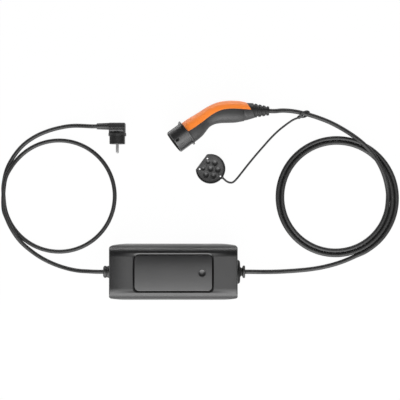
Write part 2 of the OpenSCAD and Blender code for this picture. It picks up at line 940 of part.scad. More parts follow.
module outlet_bush() {
    ring_r = bush_d / 2;
    neck_r = entry_d / 2;
    root_r = bush_d / 2 - 1;
    root_t = 2.6;
    ring_t = 4.4;
    edge = 1;
    color(rubber_black)
    translate([collar_len, 0, 0])
        entry_part(1, [
            [0, 0], [0, root_r], [root_t, neck_r], [bush_len - ring_t - 2 * edge, neck_r - edge / 2],
            [bush_len - ring_t, ring_r - edge / 2], [bush_len - ring_t + edge / 2, ring_r],
            [bush_len - edge, ring_r], [bush_len, ring_r - edge], [bush_len, 0]
        ]);
}

// Mains lead and its plug

module supply_cord() {
    color(rubber_black)
    cord(concat(supply_from_box, supply_loop, supply_to_plug), supply_r, 8);
}

module plug_sleeve() {
    color(rubber_black)
    translate(plug_at + [-body_w / 2, sleeve_y, 0])
        rotate([0, -90, 0])
            difference() {
                cylinder(r1 = sleeve_r, r2 = sleeve_end_r, h = sleeve_len);
                for (i = [1 : slit_count], a = [45 : 90 : 315])
                    rotate([0, 0, a])
                        translate([sleeve_r, 0, i * slit_pitch])
                            cube(slit_size, center = true);
            }
}

// Plan of the plug's body, with rounded back corners
module plug_plan() {
    back_r = 2;
    translate([0, body_len / 2])
        square([body_w, body_len - 2 * back_r], center = true);
    translate([-body_w / 2, 0])
        square([body_w, body_len / 2]);
    translate([-body_w / 2 + back_r, 0])
        square([body_w - 2 * back_r, body_len]);
    for (s = [-1, 1])
        translate([s * (body_w / 2 - back_r), body_len - back_r])
            circle(back_r);
}

// Side view of the plug's body: a finger ridge, then a hollow, then the flat back
module plug_side() {
    ridge_y = body_len * 0.31;
    half = body_h / 2;
    upper = [
        [0, half - 0.6], [body_len * 0.04, half - 2.5], [body_len * 0.1, half - 2.8],
        [ridge_y - 1.2, half - 0.4], [ridge_y, half], [ridge_y + 1.4, half - 0.4],
        [body_len * 0.56, half - 3.3], [body_len * 0.64, half - 3.7], [body_len * 0.92, half - 3.9],
        [body_len * 0.97, half - 4.8], [body_len, half - 7]
    ];
    polygon(concat(upper, reversed(flip_y(upper))));
}

function corner(x, z, r, from) = [
    for (i = [0 : 6]) let (a = from + 15 * i) [x + r * cos(a), z + r * sin(a)]
];

// End view of the plug's body, rounder on the side away from the lead
module plug_section() {
    inner = -body_w / 2 + plug_inner_r;
    outer = body_w / 2 - plug_outer_r;
    half = body_h / 2;
    polygon(concat(
        corner(outer, half - plug_outer_r, plug_outer_r, 0),
        corner(inner, half - plug_inner_r, plug_inner_r, 90),
        corner(inner, plug_inner_r - half, plug_inner_r, 180),
        corner(outer, plug_outer_r - half, plug_outer_r, 270)
    ));
}

module plug_body() {
    color(rubber_black)
    translate(plug_at + [0, insert_len, 0]) {
        rotate([-90, 0, 0])
            linear_extrude(rim_t)
                intersection() {
                    circle(d = plug_d);
                    square([plug_w, plug_d], center = true);
                }
        translate([0, rim_t, 0])
            intersection() {
                translate([0, 0, -plug_d])
                    linear_extrude(2 * plug_d)
                        plug_plan();
                translate([-plug_d, 0, 0])
                    rotate([90, 0, 90])
                        linear_extrude(2 * plug_d)
                            plug_side();
                translate([0, -over, 0])
                    rotate([-90, 0, 0])
                        linear_extrude(body_len + 2 * over)
                            plug_section();
            }
    }
}

module plug_insert() {
    color(rubber_black)
    translate(plug_at)
        rotate([-90, 0, 0])
            difference() {
                linear_extrude(insert_len)
                    intersection() {
                        circle(d = insert_d);
                        square([insert_w, insert_d], center = true);
                    }
                for (s = [-1, 1]) {
                    translate([s * insert_w / 2, 0, insert_len / 2])
                        cube([2 * clip_t, clip_w, insert_len + over], center = true);
                    translate([0, s * pin_gap / 2, -over])
                        cylinder(d = pin_root_d, h = pin_root_len + over);
                }
            }
}

// Each pin has a thicker root, flush with the front of the insert
module plug_pins() {
    color(metal)
    translate(plug_at)
        for (s = [-1, 1])
            translate([0, 0, s * pin_gap / 2])
                rotate([90, 0, 0])
                    rotate_extrude()
                        polygon([
                            [0, -pin_root_len], [pin_root_d / 2, -pin_root_len], [pin_root_d / 2, 0],
                            [pin_d / 2, 0], [pin_d / 2, pin_len - pin_tip], [pin_d / 2 - pin_tip, pin_len],
                            [0, pin_len]
                        ]);
}

module earth_clips() {
    color(metal)
    translate(plug_at)
        for (s = [-1, 1])
            translate([s * (insert_w - clip_t) / 2, insert_len / 2, 0])
                cube([clip_t, insert_len, clip_w], center = true);
}

// Charging cable

module cable_box_end() {
    color(rubber_black)
    cord(cable_from_box, cable_r, 8);
}

module cable_coil() {
    color(rubber_black)
    translate([coil_centre.x, coil_centre.y, 0])
        rotate_extrude()
            translate([coil_in_r, 0])
                square([coil_out_r - coil_in_r, cable_d]);
}

module cable_grip_end() {
    color(rubber_black)
    cord(cable_to_grip, cable_r, 8);
}

// Car connector

// Place of a point of the connector in the whole
function connector_point(p) =
    let (u = p.x * cos(conn_tilt) + p.z * sin(conn_tilt))
    let (w = p.z * cos(conn_tilt) - p.x * sin(conn_tilt))
    conn_at + [
        u * cos(conn_heading) - p.y * sin(conn_heading),
        u * sin(conn_heading) + p.y * cos(conn_heading),
        w
    ];

module on_connector() {
    translate(conn_at)
        rotate([0, 0, conn_heading])
            rotate([0, conn_tilt, 0])
                children();
}

// Turns a shape drawn from v and w so that it runs along u
module along_u(u) {
    translate([u, 0, 0])
        rotate([90, 0, 90])
            children();
}

// One shell of the grip, swept through its stations
module grip_shell(side) {
    rings = len(grip_places) - 1;
    n = 2 * (grip_arc + 1);
    points = [for (t = grip_places) each shell_ring(t, side)];
    skin = [
        for (i = [0 : rings - 1], j = [0 : n - 1])
            let (m = (j + 1) % n)
            each quad(i * n + j, (i + 1) * n + j, (i + 1) * n + m, i * n + m)
    ];
    ends = [
        for (j = [0 : grip_arc - 1])
            each concat(
                quad(j, j + 1, n - 2 - j, n - 1 - j),
                quad(rings * n + n - 1 - j, rings * n + n - 2 - j, rings * n + j + 1, rings * n + j)
            )
    ];
    faces = concat(skin, ends);
    polyhedron(points, side > 0 ? faces : [for (f = faces) reversed(f)]);
}

module grip_cover() {
    color(cover_orange)
    on_connector()
        grip_shell(1);
}

module grip_lower() {
    color(shell_grey)
    on_connector()
        grip_shell(-1);
}

module mating_barrel() {
    color(rubber_black)
    on_connector()
        difference() {
            union() {
                intersection() {
                    rotate([0, 90, 0])
                        rotate_extrude()
                            polygon([
                                [0, 0], [barrel_r - lip, 0], [barrel_r, lip], [barrel_r, barrel_len + over],
                                [0, barrel_len + over]
                            ]);
                    along_u(-over)
                        linear_extrude(barrel_len + 3 * over)
                            d_shape(barrel_r + over, barrel_flat);
                }
                along_u(barrel_len)
                    linear_extrude(flange_t)
                        d_shape(flange_r, barrel_flat + flange_rim);
                along_u(barrel_len)
                    linear_extrude(flange_t + spigot_len)
                        d_shape(spigot_r, spigot_flat);
            }
            along_u(-over)
                linear_extrude(bore_depth + over)
                    d_shape(bore_r, bore_flat);
            along_u(flange_end)
                linear_extrude(spigot_len + over)
                    d_shape(spigot_r - spigot_wall, spigot_flat - spigot_wall);
            translate([lock_u, lock_v, 0])
                linear_extrude(2 * barrel_r)
                    slot_outline(lock_len, lock_w);
        }
}

module front_seal() {
    color(rubber_black)
    on_connector()
        along_u(flange_end)
            linear_extrude(front_seal_t)
                difference() {
                    d_shape(spigot_r + front_seal_w, spigot_flat + front_seal_w);
                    d_shape(spigot_r, spigot_flat);
                }
}

// Cylinders on the places of some contacts, from one depth to another
module at_contacts(places, r, from, to) {
    for (p = places)
        translate([from, p.x, p.y])
            rotate([0, 90, 0])
                cylinder(r = r, h = to - from);
}

module contact_carrier() {
    color(shell_grey)
    on_connector()
        difference() {
            union() {
                along_u(bore_depth - plate_t)
                    linear_extrude(plate_t)
                        d_shape(bore_r, bore_flat);
                at_contacts(concat(power_at, spare_at), well_r, tower_recess, bore_depth - over);
                at_contacts(pilot_at, pilot_well_r, tower_recess, bore_depth - over);
            }
            at_contacts(concat(power_at, spare_at), power_r, tower_recess - over, sleeve_floor);
            at_contacts(pilot_at, pilot_r, tower_recess - over, sleeve_floor);
        }
}

module contact_sleeves(places, bore_d) {
    front = tower_recess + sleeve_recess;
    on_connector()
        for (p = places)
            difference() {
                at_contacts([p], bore_d / 2 + sleeve_wall, front, sleeve_floor);
                at_contacts([p], bore_d / 2, front - over, sleeve_floor - sleeve_wall);
            }
}

module power_contacts() {
    color(metal)
    contact_sleeves(power_at, power_bore_d);
}

module pilot_contacts() {
    color(metal)
    contact_sleeves(pilot_at, pilot_bore_d);
}

// Moves a shape drawn along x onto the boot's axis
module on_boot() {
    on_connector()
        translate([boot_at.x, boot_at.y, 0])
            rotate([0, 0, boot_turn])
                children();
}

// Radius of the boot's ribs along its length
function boot_radius(k) = boot_r + (boot_end_r - boot_r) * k;

module boot_round(profile) {
    rotate([0, 90, 0])
        rotate_extrude()
            polygon([for (p = profile) [p.y, p.x]]);
}

module grip_boot() {
    pitch = boot_len / boot_ribs;
    back = grip_stations[len(grip_stations) - 1];
    slope = back[0] - back[1];
    size = 4 * boot_r;
    profile = concat(
        [[-boot_lead, 0], [-boot_lead, boot_r]],
        [for (i = [0 : boot_ribs - 1]) each [
            [pitch * (i + 0.08), boot_radius((i + 0.08) / boot_ribs)],
            [pitch * (i + 0.16), boot_radius((i + 0.16) / boot_ribs) - rib_depth],
            [pitch * (i + 0.44), boot_radius((i + 0.44) / boot_ribs) - rib_depth],
            [pitch * (i + 0.52), boot_radius((i + 0.52) / boot_ribs)]
        ]],
        [[boot_len, boot_end_r], [boot_len, 0]]
    );
    spine = [
        [-boot_lead / 2, 0], [-boot_lead / 2, boot_r - spine_low], [0, boot_r - spine_low],
        [boot_len - spine_low, boot_end_r - spine_low], [boot_len - spine_low, 0]
    ];
    color(rubber_black)
    difference() {
        on_boot() {
            boot_round(profile);
            intersection() {
                boot_round(spine);
                translate([-boot_lead, -spine_w / 2, -size])
                    cube([boot_lead + boot_len, spine_w, 2 * size]);
            }
        }
        on_connector()
            translate([back[1].x, back[1].y, 0])
                rotate([0, 0, atan2(slope.y, slope.x)])
                    translate([-size, -seam_gap, -size])
                        cube([2 * size, size, 2 * size]);
    }
    color(rubber_black)
    on_boot()
        translate([-root_len, 0, 0])
            rotate([0, 90, 0]) {
                cylinder(r = root_r, h = root_len + over);
                cylinder(r = root_collar_r, h = root_collar_t);
            }
}

module cable_clamp() {
    color(metal)
    on_boot()
        translate([-root_len - clamp_size.x, -clamp_size.y / 2, -clamp_size.z / 2])
            cube(clamp_size);
}

// Dust cap on its tether

module on_cap() {
    translate(cap_at)
        rotate([0, 0, cap_turn])
            children();
}

// Bowls in the floor, which clear the noses of the contact towers
module cap_wells(places, r, depth) {
    ball_r = (r * r + depth * depth) / (2 * depth);
    for (p = places)
        translate([p.x, p.y, cap_floor - depth + ball_r])
            sphere(ball_r);
}

module dust_cap() {
    color(rubber_black)
    on_cap()
        difference() {
            union() {
                difference() {
                    intersection() {
                        rotate_extrude()
                            polygon([
                                [0, 0], [skirt_r - cap_edge, 0], [skirt_r, cap_edge],
                                [skirt_r, cap_h - cap_edge / 2], [skirt_r - cap_edge / 2, cap_h], [0, cap_h]
                            ]);
                        linear_extrude(cap_h)
                            d_shape(skirt_r + over, skirt_flat);
                    }
                    translate([0, 0, cap_floor])
                        linear_extrude(cap_h)
                            d_shape(groove_r, groove_flat);
                    intersection() {
                        translate([0, 0, cap_h - lead_h])
                            cylinder(r1 = groove_r, r2 = groove_r + 2 * lead_w, h = 2 * lead_h);
                        linear_extrude(2 * cap_h)
                            d_shape(2 * groove_r, groove_flat);
                    }
                }
                translate([-lug_at, 0, 0])
                    cylinder(r = lug_r, h = lug_h);
            }
            cap_wells(concat(power_at, spare_at), well_r, well_depth);
            cap_wells(pilot_at, pilot_well_r, pilot_well_depth);
            for (s = [-1, 1])
                rotate([0, 0, s * drain_a])
                    translate([drain_r, 0, -over])
                        cylinder(d = drain_d, h = cap_floor + 2 * over);
            translate([-far_drain_r, 0, -over])
                cylinder(d = drain_d, h = cap_floor + 2 * over);
        }
}

module cap_tether() {
    color(rubber_black)
    cord(concat([tether_start], tether_points, [tether_end]), tether_r, 8);
}

module tether_ring() {
    color(rubber_black)
    translate(ring_at)
        rotate([0, 0, ring_slant]) {
            rotate([90, 0, 0])
                linear_extrude(ring_w, center = true)
                    difference() {
                        slot_outline(ring_in_l + 2 * ring_t, ring_in_h + 2 * ring_t);
                        slot_outline(ring_in_l, ring_in_h);
                    }
            translate([-clasp_at, 0, 0])
                cube(clasp_size, center = true);
            translate([bead_at, 0, 0])
                cube(bead_size, center = true);
        }
}

box_base();
box_cover();
box_seal();
face_panel();
mode_button();
switch_board();
button_switch();
circuit_board();
power_relays();
current_sensor();
supply_module();
filter_capacitors();
terminal_blocks();
board_screws();
cover_screws();
inlet_gland();
outlet_collar();
outlet_bush();
supply_cord();
plug_sleeve();
plug_body();
plug_insert();
plug_pins();
earth_clips();
cable_box_end();
cable_coil();
cable_grip_end();
grip_cover();
grip_lower();
mating_barrel();
front_seal();
contact_carrier();
power_contacts();
pilot_contacts();
cable_clamp();
grip_boot();
dust_cap();
cap_tether();
tether_ring();
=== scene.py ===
# Portable car charger: looks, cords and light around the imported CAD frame
import json
from math import cos, hypot, pi, radians, sin, tan

import bmesh
import bpy
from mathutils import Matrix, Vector


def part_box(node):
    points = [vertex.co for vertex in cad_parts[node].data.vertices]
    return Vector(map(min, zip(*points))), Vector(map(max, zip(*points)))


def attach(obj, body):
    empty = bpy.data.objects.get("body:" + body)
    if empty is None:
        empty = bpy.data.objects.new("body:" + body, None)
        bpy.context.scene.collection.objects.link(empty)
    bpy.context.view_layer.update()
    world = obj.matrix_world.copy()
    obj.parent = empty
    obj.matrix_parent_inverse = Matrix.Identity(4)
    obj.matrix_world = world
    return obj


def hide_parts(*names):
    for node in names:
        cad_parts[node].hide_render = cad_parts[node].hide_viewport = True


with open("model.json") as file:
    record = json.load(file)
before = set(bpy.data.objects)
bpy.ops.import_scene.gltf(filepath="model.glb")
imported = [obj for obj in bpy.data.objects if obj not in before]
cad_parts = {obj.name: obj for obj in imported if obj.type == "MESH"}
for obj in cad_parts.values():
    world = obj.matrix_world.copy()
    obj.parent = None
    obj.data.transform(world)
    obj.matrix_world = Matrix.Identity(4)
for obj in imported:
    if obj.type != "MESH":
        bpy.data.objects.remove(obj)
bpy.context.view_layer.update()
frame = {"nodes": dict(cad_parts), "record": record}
nodes = frame["nodes"]
mm = 0.001
print("frame loaded:", len(nodes), "CAD nodes")


# Camera, straight above as the photograph was taken
view = {
    "over": (54.7 * mm, 148.8 * mm),
    "height": 2.333,
    "lens": 100,
    "sensor": 36,
    "farthest": 50,
}


def makeCamera(v):
    data = bpy.data.cameras.new("topCamera")
    data.lens = v["lens"]
    data.sensor_width = v["sensor"]
    data.clip_end = v["farthest"]
    camera = bpy.data.objects.new("topCamera", data)
    camera.location = (v["over"][0], v["over"][1], v["height"])
    bpy.context.collection.objects.link(camera)
    bpy.context.scene.camera = camera


makeCamera(view)
print("camera set", view["height"], "m above the floor")


# Small helpers for meshes

def addObject(name, mesh):
    piece = bpy.data.objects.new(name, mesh)
    bpy.context.collection.objects.link(piece)
    return piece


def settle(piece, body, slotName, *replaced):
    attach(piece, body)
    if replaced:
        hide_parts(*replaced)


def smoothed(points, perGap):
    # dense curve through the route's points
    dense = []
    last = len(points) - 1
    for i in range(last):
        a, b = points[max(i - 1, 0)], points[i]
        c, d = points[i + 1], points[min(i + 2, last)]
        for j in range(perGap):
            t = j / perGap
            dense.append(
                b + (c - a) * (t / 2)
                + (2 * a - 5 * b + 4 * c - d) * (t * t / 2)
                + (3 * b - a - 3 * c + d) * (t * t * t / 2)
            )
    dense.append(points[last])
    return dense


def pathLength(path):
    return sum((b - a).length for a, b in zip(path, path[1:]))


def sweptTube(name, path, radius, sides):
    # tube with closed ends and a UV map that runs along it
    bm = bmesh.new()
    uvLayer = bm.loops.layers.uv.new("alongCord")
    turns = [2 * pi * k / sides for k in range(sides)]
    rings, travelled = [], [0.0]
    across = None
    for i, point in enumerate(path):
        before, after = path[max(i - 1, 0)], path[min(i + 1, len(path) - 1)]
        along = (after - before).normalized()
        if across is None:
            across = Vector((0, 0, 1)).cross(along)
        across = (across - along * across.dot(along)).normalized()
        up = along.cross(across)
        if i:
            travelled.append(travelled[-1] + (point - path[i - 1]).length)
        rings.append([bm.verts.new(point + radius * (cos(t) * across + sin(t) * up)) for t in turns])
    for i in range(len(rings) - 1):
        for k in range(sides):
            n = (k + 1) % sides
            face = bm.faces.new((rings[i][k], rings[i][n], rings[i + 1][n], rings[i + 1][k]))
            face.smooth = True
            grid = ((k, i), (k + 1, i), (k + 1, i + 1), (k, i + 1))
            for loop, (u, v) in zip(face.loops, grid):
                loop[uvLayer].uv = (u / sides, travelled[v])
    bm.faces.new(list(reversed(rings[0])))
    bm.faces.new(rings[-1])
    bmesh.ops.recalc_face_normals(bm, faces=bm.faces)
    mesh = bpy.data.meshes.new(name)
    bm.to_mesh(mesh)
    bm.free()
    return addObject(name, mesh)


def plainMesh(piece):
    # the piece as its modifiers leave it, without them
    bpy.context.view_layer.update()
    shown = piece.evaluated_get(bpy.context.evaluated_depsgraph_get())
    made = bpy.data.meshes.new_from_object(shown)
    piece.modifiers.clear()
    piece.data = made
    return made


def softEdges(piece, edge):
    # rounds the edges that turn by more than the angle; the width is in millimetres
    bevel = piece.modifiers.new("softEdges", "BEVEL")
    bevel.width = edge["width"] * mm
    bevel.segments = edge["segments"]
    bevel.limit_method = "ANGLE"
    bevel.angle_limit = radians(edge["angle"])
    bevel.harden_normals = edge["harden"]
    return bevel


# Shared shader groups

def newGroup(name, inputs, outputs):
    group = bpy.data.node_groups.new(name, "ShaderNodeTree")
    for label, kind, value in inputs:
        made = group.interface.new_socket(label, in_out="INPUT", socket_type=kind)
        if value is not None:
            made.default_value = value
    for label, kind in outputs:
        group.interface.new_socket(label, in_out="OUTPUT", socket_type=kind)
    return group, group.nodes.new("NodeGroupInput"), group.nodes.new("NodeGroupOutput")


def addNode(tree, kind, settings=None, **inputs):
    made = tree.nodes.new(kind)
    for key, value in (settings or {}).items():
        setattr(made, key, value)
    for key, value in inputs.items():
        made.inputs[key.replace("_", " ")].default_value = value
    return made


def join(tree, *pairs):
    for source, target in pairs:
        tree.links.new(source, target)


slowShare = 0.35  # of the slow unevenness in the grain's height


def makeGrain():
    # moulded surface: fine spark texture, slow unevenness and a faint cloud for the colour
    tree, start, end = newGroup(
        "mouldGrain",
        [("Coordinates", "NodeSocketVector", None),
         ("Grain Size", "NodeSocketFloat", 1200.0),
         ("Unevenness Size", "NodeSocketFloat", 22.0)],
        [("Height", "NodeSocketFloat"), ("Cloud", "NodeSocketFloat")],
    )
    fine = addNode(tree, "ShaderNodeTexNoise", Detail=2.0, Roughness=0.55)
    slow = addNode(tree, "ShaderNodeTexNoise", Detail=3.0, Roughness=0.5)
    lift = addNode(tree, "ShaderNodeMath", {"operation": "MULTIPLY_ADD"})
    lift.inputs[1].default_value = slowShare
    join(
        tree,
        (start.outputs["Coordinates"], fine.inputs["Vector"]),
        (start.outputs["Coordinates"], slow.inputs["Vector"]),
        (start.outputs["Grain Size"], fine.inputs["Scale"]),
        (start.outputs["Unevenness Size"], slow.inputs["Scale"]),
        (slow.outputs["Fac"], lift.inputs[0]),
        (fine.outputs["Fac"], lift.inputs[2]),
        (lift.outputs["Value"], end.inputs["Height"]),
        (slow.outputs["Fac"], end.inputs["Cloud"]),
    )
    return tree


def makeEdgeWearHighlight():
    # mask of the outer edges, broken up, where handling has polished them; it also carries a painted
    # highlight, as the edges are made paler with it
    tree, start, end = newGroup(
        "edgeWearHighlightGroup",
        [("Coordinates", "NodeSocketVector", None), ("Width", "NodeSocketFloat", 0.0008)],
        [("Rub", "NodeSocketFloat")],
    )
    rounded = addNode(tree, "ShaderNodeBevel", {"samples": 4})
    facing = addNode(tree, "ShaderNodeNewGeometry")
    turn = addNode(tree, "ShaderNodeVectorMath", {"operation": "DOT_PRODUCT"})
    mask = addNode(tree, "ShaderNodeMapRange", From_Min=0.99, From_Max=0.8)
    patches = addNode(tree, "ShaderNodeTexNoise", Scale=90.0, Detail=3.0)
    broken = addNode(tree, "ShaderNodeMath", {"operation": "MULTIPLY"})
    join(
        tree,
        (start.outputs["Width"], rounded.inputs["Radius"]),
        (start.outputs["Coordinates"], patches.inputs["Vector"]),
        (rounded.outputs["Normal"], turn.inputs[0]),
        (facing.outputs["Normal"], turn.inputs[1]),
        (turn.outputs["Value"], mask.inputs["Value"]),
        (mask.outputs["Result"], broken.inputs[0]),
        (patches.outputs["Fac"], broken.inputs[1]),
        (broken.outputs["Value"], end.inputs["Rub"]),
    )
    return tree


mouldGrain = makeGrain()
edgeWearHighlightGroup = makeEdgeWearHighlight()


# What a finish has unless it says otherwise; the rub is how the edges differ from the rest: smoother
# from wear, and paler as a painted highlight
plainFinish = {
    "grain": 1200, "cloud": 22, "cloudRange": (0.3, 0.7), "glossRange": 0.04, "bump": 0.15,
    "depth": 0.0001, "metallic": 0, "specular": 0.5, "sheen": 0, "alongCord": None,
    "rub": {"times": 1.5, "plus": 0.004, "roughness": -0.15},
}
firstColour, secondColour, mixedColour = 6, 7, 2  # sockets of a Mix node that mixes colours


def colourMix(tree):
    return addNode(tree, "ShaderNodeMix", {"data_type": "RGBA"})


def makeFinish(name, own):
    # plastic, rubber or metal with grain, colour variation and an uneven gloss
    finish = {**plainFinish, **own}
    material = bpy.data.materials.new(name)
    material.use_nodes = True
    tree = material.node_tree
    shader = tree.nodes["Principled BSDF"]
    place = addNode(tree, "ShaderNodeTexCoord")
    grain = addNode(tree, "ShaderNodeGroup", {"node_tree": mouldGrain})
    grain.inputs["Grain Size"].default_value = finish["grain"]
    grain.inputs["Unevenness Size"].default_value = finish["cloud"]
    tint = colourMix(tree)
    tint.inputs[firstColour].default_value = (*finish["colour"], 1)
    tint.inputs[secondColour].default_value = (*finish["colourLight"], 1)
    gloss = addNode(tree, "ShaderNodeMapRange")
    gloss.inputs["From Min"].default_value, gloss.inputs["From Max"].default_value = finish["cloudRange"]
    gloss.inputs["To Min"].default_value = finish["roughness"] - finish["glossRange"]
    gloss.inputs["To Max"].default_value = finish["roughness"] + finish["glossRange"]
    join(
        tree,
        (grain.outputs["Cloud"], tint.inputs[0]),
        (grain.outputs["Cloud"], gloss.inputs["Value"]),
    )
    if finish["alongCord"]:
        stretch = addNode(tree, "ShaderNodeMapping")
        stretch.inputs["Scale"].default_value = finish["alongCord"]
        join(
            tree,
            (place.outputs["UV"], stretch.inputs["Vector"]),
            (stretch.outputs["Vector"], grain.inputs["Coordinates"]),
            (tint.outputs[mixedColour], shader.inputs["Base Color"]),
            (gloss.outputs["Result"], shader.inputs["Roughness"]),
        )
    else:
        edgeWearAndHighlight = finish["rub"]
        rub = addNode(tree, "ShaderNodeGroup", {"node_tree": edgeWearHighlightGroup})
        # painted highlight together with wear: the outer edges are made paler than the rest of the
        # finish
        paler = colourMix(tree)
        paler.inputs[secondColour].default_value = (
            *[min(1, part * edgeWearAndHighlight["times"] + edgeWearAndHighlight["plus"]) for part in finish["colourLight"]], 1)
        smoother = addNode(tree, "ShaderNodeMath", {"operation": "MULTIPLY_ADD"})
        smoother.inputs[1].default_value = edgeWearAndHighlight["roughness"]
        join(
            tree,
            (place.outputs["Object"], grain.inputs["Coordinates"]),
            (place.outputs["Object"], rub.inputs["Coordinates"]),
            (rub.outputs["Rub"], paler.inputs[0]),
            (tint.outputs[mixedColour], paler.inputs[firstColour]),
            (rub.outputs["Rub"], smoother.inputs[0]),
            (gloss.outputs["Result"], smoother.inputs[2]),
            (paler.outputs[mixedColour], shader.inputs["Base Color"]),
            (smoother.outputs["Value"], shader.inputs["Roughness"]),
        )
    bump = addNode(tree, "ShaderNodeBump")
    bump.inputs["Strength"].default_value = finish["bump"]
    bump.inputs["Distance"].default_value = finish["depth"]
    join(
        tree,
        (grain.outputs["Height"], bump.inputs["Height"]),
        (bump.outputs["Normal"], shader.inputs["Normal"]),
    )
    shader.inputs["Metallic"].default_value = finish["metallic"]
    shader.inputs["Specular IOR Level"].default_value = finish["specular"]
    shader.inputs["Sheen Weight"].default_value = finish["sheen"]
    return material


finishes = {
    "shell": {
        "colour": (0.008, 0.008, 0.0084), "colourLight": (0.01, 0.01, 0.0104),
        "roughness": 0.34, "specular": 0.63,
    },
    "gripShell": {
        "colour": (0.013, 0.013, 0.0135), "colourLight": (0.0155, 0.0155, 0.016),
        "roughness": 0.55, "specular": 0.68,
    },
    "panel": {
        "colour": (0.009, 0.009, 0.0094), "colourLight": (0.0115, 0.0115, 0.012),
        "roughness": 0.34, "specular": 0.7,
    },
    "orange": {
        "colour": (0.93, 0.224, 0.016), "colourLight": (0.98, 0.244, 0.02),
        "roughness": 0.42, "specular": 0.5, "sheen": 0.35,
    },
    "barrel": {
        "colour": (0.012, 0.012, 0.0125), "colourLight": (0.015, 0.015, 0.0155),
        "roughness": 0.32, "specular": 1.0,
    },
    "plug_plastic": {
        "colour": (0.006, 0.006, 0.006), "colourLight": (0.008, 0.008, 0.008),
        "roughness": 0.55, "specular": 0.4,
    },
    "rubber": {
        "colour": (0.012, 0.012, 0.012), "colourLight": (0.016, 0.016, 0.016),
        "roughness": 0.46, "specular": 0.6,
    },
    "bootRubber": {
        "colour": (0.008, 0.008, 0.008), "colourLight": (0.011, 0.011, 0.011),
        "roughness": 0.5, "specular": 0.42,
    },
    # painted shade: the collar is a darker copy of the plug plastic, as its sides lie in shade
    "collar": {
        "colour": (0.003, 0.003, 0.003), "colourLight": (0.004, 0.004, 0.004),
        "roughness": 0.5, "specular": 0.2,
    },
    "capRubber": {
        "colour": (0.014, 0.014, 0.014), "colourLight": (0.018, 0.018, 0.018),
        "roughness": 0.48, "specular": 0.9,
    },
    "jacket": {
        "colour": (0.011, 0.011, 0.011), "colourLight": (0.015, 0.015, 0.015),
        "roughness": 0.46, "specular": 0.5,
        "alongCord": (14, 60, 1), "grain": 9, "cloud": 1.5, "bump": 0.08,
    },
    "pin": {
        "colour": (0.34, 0.34, 0.34), "colourLight": (0.42, 0.42, 0.42),
        "roughness": 0.34, "metallic": 1,
    },
    "contact": {
        "colour": (0.72, 0.7, 0.66), "colourLight": (0.8, 0.78, 0.74),
        "roughness": 0.25, "metallic": 1,
    },
    "screw": {
        "colour": (0.5, 0.5, 0.52), "colourLight": (0.6, 0.6, 0.62),
        "roughness": 0.32, "metallic": 1,
    },
    "board": {
        "colour": (0.02, 0.11, 0.05), "colourLight": (0.03, 0.14, 0.065),
        "roughness": 0.35,
    },
    "component": {
        "colour": (0.03, 0.035, 0.045), "colourLight": (0.04, 0.045, 0.055),
        "roughness": 0.5,
    },
    "can": {
        "colour": (0.6, 0.6, 0.62), "colourLight": (0.68, 0.68, 0.7),
        "roughness": 0.3, "metallic": 1,
    },
}
materials = {name: makeFinish(name + "Finish", finish) for name, finish in finishes.items()}
print("materials made:", len(materials))


# Cords, along the routes of their CAD solids, in millimetres
mainsLead = {
    "diameter": 8.6, "sides": 18, "perGap": 6,
    "fromBox": [
        (-145.5, 0, 30), (-158, 0, 30), (-177, 0.5, 25.5), (-200, 1.5, 16), (-225, 6, 8.4),
        (-251, 14.5, 4.8), (-276, 26.5, 4.4), (-299, 42, 4.7), (-320, 61, 8), (-336, 83.5, 12.2),
        (-348, 108, 13.2), (-356, 135, 13.2),
    ],
    "loopCentre": (-240.5, 157), "loopRadius": 116.5, "loopFrom": 165, "loopTo": -180, "loopStep": 15,
    "loopRise": 8.9, "riseFrom": 136, "riseOver": 24,
    "toPlug": [
        (-357, 181, 4.4), (-350, 213, 4.4), (-335, 241, 4.4), (-315, 264.5, 4.4), (-290, 282, 4.4),
        (-262, 294, 4.4), (-234, 301.3, 5), (-211, 304, 8.6), (-190, 303.4, 15), (-172.1, 302.2, 19),
        (-160.1, 302.2, 19),
    ],
}
chargeCable = {
    "diameter": 9.2, "sides": 24, "perGap": 6,
    "fromBox": [
        (148, 0, 30), (160, 0, 30), (181, -0.5, 25.5), (206, -1, 16), (232, -0.5, 8.4), (258, 1, 5),
        (284, 3.5, 4.6), (309, 7.5, 4.6), (334, 13.5, 4.6), (358, 21.5, 4.6), (382, 32, 4.6),
        (404, 42.2, 4.5),
    ],
    "coilCentre": (340, 153.5), "coilRadius": 127, "coilPitch": 9.2, "coilFrom": -45, "coilTo": 705,
    "coilStep": 15, "coilLevel": 4.5,
    "toGrip": [
        (448.7, 154, 4.5), (447.3, 172, 6), (441.5, 195, 10.4), (432, 218, 13.6), (419.5, 239, 13.9),
        (405, 257, 13.9), (389, 272, 13.4), (370, 286.5, 9.4), (349, 300, 5.6), (327, 311.5, 4.8),
        (304, 320.5, 5.6), (283, 327, 8), (263, 332, 8.4), (244, 335, 9.2), (226, 335.6, 12.6),
        (210.24, 334.07, 16.39), (198.26, 334.32, 17.19),
    ],
}
capTether = {
    "diameter": 4.2, "sides": 14, "perGap": 5,
    "route": [
        (261.04, 321.2, 7.2), (250, 316.8, 5), (236, 307.5, 2.6), (219, 294, 2.1), (203, 278.4, 2.1),
        (187, 260.4, 2.1), (171, 242, 2.1), (156, 223.8, 2.1), (143, 207.3, 2.1), (132, 193.6, 2.1),
        (124, 186.2, 2.1), (117, 185.4, 2.3), (110, 188.3, 3.4), (103.66, 193.92, 5.1),
    ],
}


def eased(k):
    # from 0 to 1 with soft ends
    c = min(max(k, 0), 1)
    return c * c * (3 - 2 * c)


def leadRoute(lead):
    x, y = lead["loopCentre"]
    loop = []
    for a in range(lead["loopFrom"], lead["loopTo"] - 1, -lead["loopStep"]):
        rise = lead["loopRise"] * eased((a - lead["riseFrom"]) / lead["riseOver"])
        loop.append((x + lead["loopRadius"] * cos(radians(a)), y + lead["loopRadius"] * sin(radians(a)),
                     lead["diameter"] / 2 + rise))
    return lead["fromBox"] + loop + lead["toPlug"]


